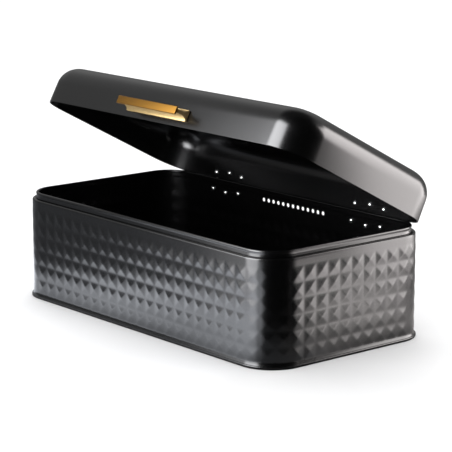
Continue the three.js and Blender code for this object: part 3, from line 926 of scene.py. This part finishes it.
def lit_ground():
    """What reflections see of the ground: bright by the panels, and dark on the camera's side."""
    points, outwards = outline.at(outline.plain_places(14, 16))
    count = len(points)
    offsets = (5, 25, 50, 80, 115, 155, 200, 260, 330, 420, 540, 700, 1000, 2000)
    near_corner = np.array((HALF_X - CORNER_RADIUS, MIDDLE_Y - HALF_Y + CORNER_RADIUS))
    vertices = []
    light = []
    for offset in offsets:
        places = points + offset * outwards
        from_front = np.maximum(distance_to(FRONT_PANEL, places) - 150, 0)
        front = FRONT_GROUND * np.exp(-from_front / FRONT_GROUND_REACH)
        # The front's ground is weaker on the left, and dark at the far left.
        front *= 0.6 + 0.4 * smooth(places[:, 0], 20, 160)
        front *= smooth(places[:, 0] + 1.5 * places[:, 1], -640, -390)
        side = SIDE_GROUND * np.exp(-distance_to(SIDE_PANEL, places) / SIDE_GROUND_REACH)
        bright = np.maximum(np.maximum(front, side), FAR_GROUND) * (0.45 + 0.55 * smooth(offset, 0, 60))
        away = places - near_corner
        # The dark wedge on the camera's side, in degrees from straight ahead, with soft edges.
        azimuth = np.degrees(np.arctan2(away[:, 0], -away[:, 1]))
        towards_camera = smooth(azimuth, 2, 24) * (1 - smooth(azimuth, 112, 128))
        dark = CAMERA_GROUND * (1 - smooth(np.full(count, offset), 40, 160))
        glow = bright * (1 - towards_camera) + dark * towards_camera
        # The light is warmer at the right and the back.
        warmth = smooth(places[:, 0] + places[:, 1], 60, 260)
        vertices += [(x, y, 1.0) for x, y in places]
        light.append(np.outer(glow * (1 - warmth), COOL) + np.outer(glow * warmth, WARM))
    faces = []
    for i in range(len(offsets) - 1):
        faces += band(i * count, (i + 1) * count, count)
    glowing_card("lit_ground", vertices, faces, np.vstack(light))


def key_light():
    """A soft light from above, behind and to the left, that isn't seen in reflections."""
    data = bpy.data.lights.new("key", "AREA")
    data.shape = "RECTANGLE"
    data.size, data.size_y = (size * MM for size in KEY_SIZE)
    data.energy = KEY_POWER
    light = bpy.data.objects.new("key", data)
    light.location = Vector(KEY_AT) * MM
    light.rotation_mode = "QUATERNION"
    light.rotation_quaternion = (-Vector(KEY_AT) * MM).to_track_quat("-Z", "Y")
    light.visible_camera = False
    light.visible_glossy = False
    bpy.context.scene.collection.objects.link(light)


def world():
    """A white room. Reflections see it grey along its far walls, and dark overhead and at the camera."""
    made = bpy.data.worlds.new("studio")
    made.use_nodes = True
    tree = made.node_tree
    background = tree.nodes["Background"]
    background.inputs["Color"].default_value = (1.0, 1.0, 1.0, 1)

    def ramp(value, from_low, from_high, to_low, to_high):
        node = tree.nodes.new("ShaderNodeMapRange")
        node.interpolation_type = "SMOOTHSTEP"
        for socket, number in zip(("From Min", "From Max", "To Min", "To Max"),
                                  (from_low, from_high, to_low, to_high)):
            node.inputs[socket].default_value = number
        tree.links.new(value, node.inputs["Value"])
        return node.outputs["Result"]

    def times(first, second):
        node = tree.nodes.new("ShaderNodeMath")
        node.operation = "MULTIPLY"
        tree.links.new(first, node.inputs[0])
        tree.links.new(second, node.inputs[1])
        return node.outputs["Value"]

    direction = tree.nodes.new("ShaderNodeTexCoord").outputs["Generated"]
    parts = tree.nodes.new("ShaderNodeSeparateXYZ")
    tree.links.new(direction, parts.inputs["Vector"])
    towards_camera = tree.nodes.new("ShaderNodeVectorMath")
    towards_camera.operation = "DOT_PRODUCT"
    towards_camera.inputs[1].default_value = (math.sin(CAMERA_AZIMUTH), -math.cos(CAMERA_AZIMUTH), 0)
    tree.links.new(direction, towards_camera.inputs[0])
    # The walls are dimmer near the ground, and it is almost dark overhead.
    upwards = parts.outputs["Z"]
    levels = times(ramp(upwards, 0.15, 0.45, 0.4, 1.0), ramp(upwards, 0.62, 0.85, 1.0, 0.1))
    far_walls = times(ramp(towards_camera.outputs["Value"], -0.15, 0.15, FAR_WALL, 0.0), levels)
    rays = tree.nodes.new("ShaderNodeLightPath")
    choose = tree.nodes.new("ShaderNodeMix")
    tree.links.new(rays.outputs["Is Glossy Ray"], choose.inputs["Factor"])
    choose.inputs[2].default_value = ROOM
    tree.links.new(far_walls, choose.inputs[3])
    tree.links.new(choose.outputs[0], background.inputs["Strength"])
    bpy.context.scene.world = made


def studio():
    world()
    floor()
    panel("front_panel", FRONT_PANEL, FRONT_PANEL_TOP, FRONT_PANEL_HEIGHT, FRONT_PANEL_GLOWS,
          FRONT_PANEL_COLOR)
    panel("side_panel", SIDE_PANEL, SIDE_PANEL, SIDE_PANEL_HEIGHT, SIDE_PANEL_GLOWS, WARM)
    lit_ground()
    key_light()


def camera():
    """A long lens at the right front, a little over the rim."""
    back = Vector((
        math.sin(CAMERA_AZIMUTH) * math.cos(CAMERA_ELEVATION),
        -math.cos(CAMERA_AZIMUTH) * math.cos(CAMERA_ELEVATION),
        math.sin(CAMERA_ELEVATION),
    ))
    data = bpy.data.cameras.new("camera")
    data.lens = CAMERA_LENS
    data.clip_end = 100.0
    shot = bpy.data.objects.new("camera", data)
    shot.location = Vector(CAMERA_AT) * MM
    shot.rotation_mode = "QUATERNION"
    level = (-back).to_track_quat("-Z", "Y")
    shot.rotation_quaternion = level @ Matrix.Rotation(CAMERA_ROLL, 3, "Z").to_quaternion()
    bpy.context.scene.collection.objects.link(shot)
    bpy.context.scene.camera = shot


# ---- The whole --------------------------------------------------------------------------------------

camera()
studio()
black, gold, bright = enamel(), brass(), steel()
bin_wall(black)
base_plate(black)
lid_shell(black)
handle(gold)
for hand in HANDS:
    handle_screw(f"handle_screw_{hand}", bright)
    hinge_pin(hand, bright)
    for body in ("bin", "lid"):
        hinge_leaf(hand, body, bright)
for body in ("bin", "lid"):
    for node in rivet_nodes(body):
        rivet(node, body, bright)
bpy.context.scene.view_settings.view_transform = "Standard"

bpy.context.view_layer.update()
